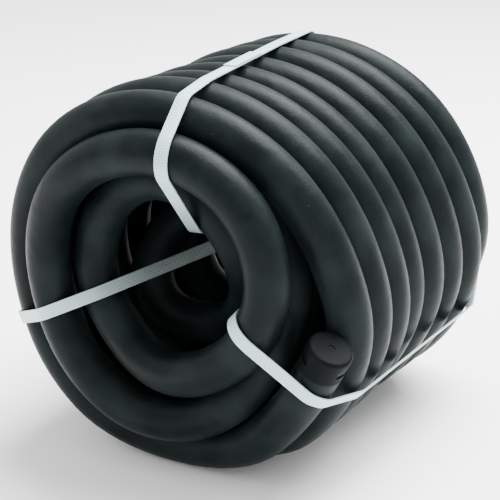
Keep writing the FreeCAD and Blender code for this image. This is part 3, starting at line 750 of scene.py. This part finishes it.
class SOAKER_OT_straps(bpy.types.Operator):
    """Make the three welded straps"""

    bl_idname = "soaker.straps"
    bl_label = "Straps"

    def execute(self, context):
        straps = sizes("straps")
        inner = sizes("hose").diameter / 2 + straps.clearance
        tape = woven_tape()
        for node, place in STRAP_PLACES.items():
            strap = Strap(*place)
            shape = bmesh.new()
            belt = strap.outline(inner + straps.thickness / 2, BELT_SPACING)
            strap.ribbon(shape, belt, closed=True)
            self.add_lap(strap, shape, inner + straps.thickness * 1.5)
            bmesh.ops.recalc_face_normals(shape, faces=shape.faces)
            mesh = from_bmesh(node.replace("strap_", "tape_"), shape)
            tape_piece = piece(mesh.name, mesh, "hose", tape)
            thick = tape_piece.modifiers.new("thickness", "SOLIDIFY")
            thick.thickness = straps.thickness
            thick.offset = 0.0
            thick.use_even_offset = True
            edge = tape_piece.modifiers.new("edge", "BEVEL")
            edge.width = straps.thickness * 0.2
            edge.segments = 2
            edge.limit_method = "ANGLE"
            edge.angle_limit = SHARP
            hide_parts(node)
        return {"FINISHED"}

    @staticmethod
    def add_lap(strap, shape, radius):
        """Second thickness on the belt's longest straight run."""
        corners = strap.corners
        runs = list(zip(corners, corners[1:] + corners[:1]))
        start, end = max(runs, key=lambda run: (run[1] - run[0]).length)
        ahead = (end - start).normalized()
        outwards = Vector((ahead.y, -ahead.x))
        middle = (start + end) / 2 + outwards * radius
        half = sizes("straps").lap / 2
        points = [
            middle + ahead * half * (2 * step / LAP_STEPS - 1) for step in range(LAP_STEPS + 1)
        ]
        strap.ribbon(shape, points, closed=False)


class SOAKER_OT_cap(bpy.types.Operator):
    """Finish the end cap and its plug"""

    bl_idname = "soaker.cap"
    bl_label = "End cap"

    def execute(self, context):
        cap = sizes("cap")
        dress("end_cap", moulded_plastic("cap_plastic", cap.plastic, cap.grain, 0.55))
        dress("end_plug", moulded_plastic("plug_plastic", cap.plastic, cap.grain))
        return {"FINISHED"}


NUT_STEPS = 96
THREAD_STEPS = 64  # in each turn
RIDGE_START = 0.45  # the thread's ridge, in pitches: from the thread's foot, half width at its
RIDGE_BASE = 0.42  # root and half width at its crest
RIDGE_CREST = 0.12
RIDGE_SUNK = 1.1  # the ridge's height over the thread's depth, so that it is rooted in the wall
NUT_EDGE = 0.00025
NUT_SHARP = math.radians(35)


class SwivelNut:
    """The nut's shell, its grip ribs and the ridge of its thread, round an axis along +Y."""

    def __init__(self):
        self.sizes = sizes("coupling")
        low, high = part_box("inlet_nut")
        self.foot = Vector(((low.x + high.x) / 2, low.y, (low.z + high.z) / 2))
        self.length = high.y - low.y
        self.shape = bmesh.new()

    def spin(self, geom, angle, steps, **how):
        bmesh.ops.spin(
            self.shape, geom=geom, cent=self.foot, axis=(0.0, 1.0, 0.0), angle=angle,
            steps=steps, **how,
        )

    def outline(self, points):
        """A closed outline of radius and height over the foot, as vertices and edges."""
        verts = [
            self.shape.verts.new(self.foot + Vector((radius, height, 0.0)))
            for radius, height in points
        ]
        pairs = zip(verts, verts[1:] + verts[:1])
        return verts + [self.shape.edges.new(pair) for pair in pairs]

    def shell(self):
        nut = self.sizes
        flat = nut.nut_radius - nut.nut_chamfer
        root = nut.thread_crest + nut.thread_depth
        self.spin(self.outline([
            (nut.lip_bore, 0.0),
            (flat, 0.0),
            (nut.nut_radius, nut.nut_chamfer),
            (nut.nut_radius, self.length - nut.nut_chamfer),
            (flat, self.length),
            (root, self.length),
            (root, nut.thread_foot),
            (nut.groove_radius, nut.thread_foot),
            (nut.groove_radius, nut.lip_thickness),
            (nut.lip_bore, nut.lip_thickness),
        ]), 2 * math.pi, NUT_STEPS, use_merge=True)

    def grip_ribs(self):
        nut = self.sizes
        middle = Vector((nut.nut_radius, self.length / 2, 0.0))
        size = (2 * nut.rib_height, self.length - 2 * nut.rib_inset, nut.rib_width)
        place = Matrix.Translation(middle) @ Matrix.Diagonal((*size, 1.0))
        for rib in range(nut.ribs):
            turn = Matrix.Rotation(2 * math.pi * rib / nut.ribs, 4, "Y")
            bmesh.ops.create_cube(
                self.shape, size=1.0, matrix=Matrix.Translation(self.foot) @ turn @ place
            )

    def thread(self):
        nut = self.sizes
        root = nut.thread_crest + nut.thread_depth * RIDGE_SUNK
        start = nut.thread_foot + nut.thread_pitch * RIDGE_START
        base, crest = nut.thread_pitch * RIDGE_BASE, nut.thread_pitch * RIDGE_CREST
        ridge = self.outline([
            (root, start - base), (nut.thread_crest, start - crest),
            (nut.thread_crest, start + crest), (root, start + base),
        ])
        steps = round(nut.thread_turns * THREAD_STEPS)
        rise = nut.thread_pitch * nut.thread_turns / steps
        self.spin(ridge, 2 * math.pi * nut.thread_turns, steps, dvec=(0.0, rise, 0.0))
        ends = [edge for edge in self.shape.edges if edge.is_boundary]
        bmesh.ops.holes_fill(self.shape, edges=ends, sides=4)

    def mesh(self):
        self.shell()
        self.grip_ribs()
        self.thread()
        bmesh.ops.recalc_face_normals(self.shape, faces=self.shape.faces)
        return from_bmesh("nut", self.shape)


class SOAKER_OT_coupling(bpy.types.Operator):
    """Make the inlet coupling and its swivel nut"""

    bl_idname = "soaker.coupling"
    bl_label = "Inlet coupling"

    def execute(self, context):
        plastic = moulded_plastic("coupling_plastic", sizes("coupling").plastic, 0.0005)
        dress("inlet_tail", plastic)
        mesh = SwivelNut().mesh()
        nut = piece("swivel_nut_shell", mesh, "swivel_nut", plastic)
        mesh.set_sharp_from_angle(angle=NUT_SHARP)
        edge = nut.modifiers.new("edge", "BEVEL")
        edge.width = NUT_EDGE
        edge.segments = 2
        edge.limit_method = "ANGLE"
        edge.angle_limit = NUT_SHARP
        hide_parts("inlet_nut")
        dress("inlet_ferrule", crimped_metal())
        dress("inlet_washer", soft_rubber())
        dress("flow_disc", nylon())
        return {"FINISHED"}


class SOAKER_OT_declare(bpy.types.Operator):
    """Work out the hose's line; nothing is done with it"""

    bl_idname = "soaker.declare"
    bl_label = "Declare the hose"

    def execute(self, context):
        line = hose_line()
        sizes("hose").diameter
        return {"FINISHED"}


class SOAKER_PT_panel(bpy.types.Panel):
    """Buttons for each piece, with its sizes and colours"""

    bl_idname = "SOAKER_PT_panel"
    bl_label = "Soaker hose"
    bl_space_type = "VIEW_3D"
    bl_region_type = "UI"
    bl_category = "Soaker hose"

    def draw(self, context):
        for group, step in STEPS:
            self.layout.operator(step.bl_idname)
            if group is None:
                continue
            box = self.layout.box()
            for name in SIZES[group].__annotations__:
                box.prop(sizes(group), name)


STEPS = (
    ("stage", SOAKER_OT_stage),
    ("hose", SOAKER_OT_hose),
    ("straps", SOAKER_OT_straps),
    ("cap", SOAKER_OT_cap),
    ("coupling", SOAKER_OT_coupling),
    (None, SOAKER_OT_declare),
)
CLASSES = (*SIZES.values(), *(step for _, step in STEPS), SOAKER_PT_panel)


def register():
    for made in CLASSES:
        bpy.utils.register_class(made)
    for group, kind in SIZES.items():
        setattr(bpy.types.Scene, "soaker_" + group, PointerProperty(type=kind))


def unregister():
    for group in SIZES:
        delattr(bpy.types.Scene, "soaker_" + group)
    for made in reversed(CLASSES):
        bpy.utils.unregister_class(made)


def main():
    register()
    bpy.ops.soaker.stage()
    bpy.ops.soaker.hose()
    bpy.ops.soaker.straps()
    bpy.ops.soaker.cap()
    bpy.ops.soaker.coupling()
    bpy.ops.soaker.declare()
    bpy.context.view_layer.update()


if __name__ == "__main__":
    main()
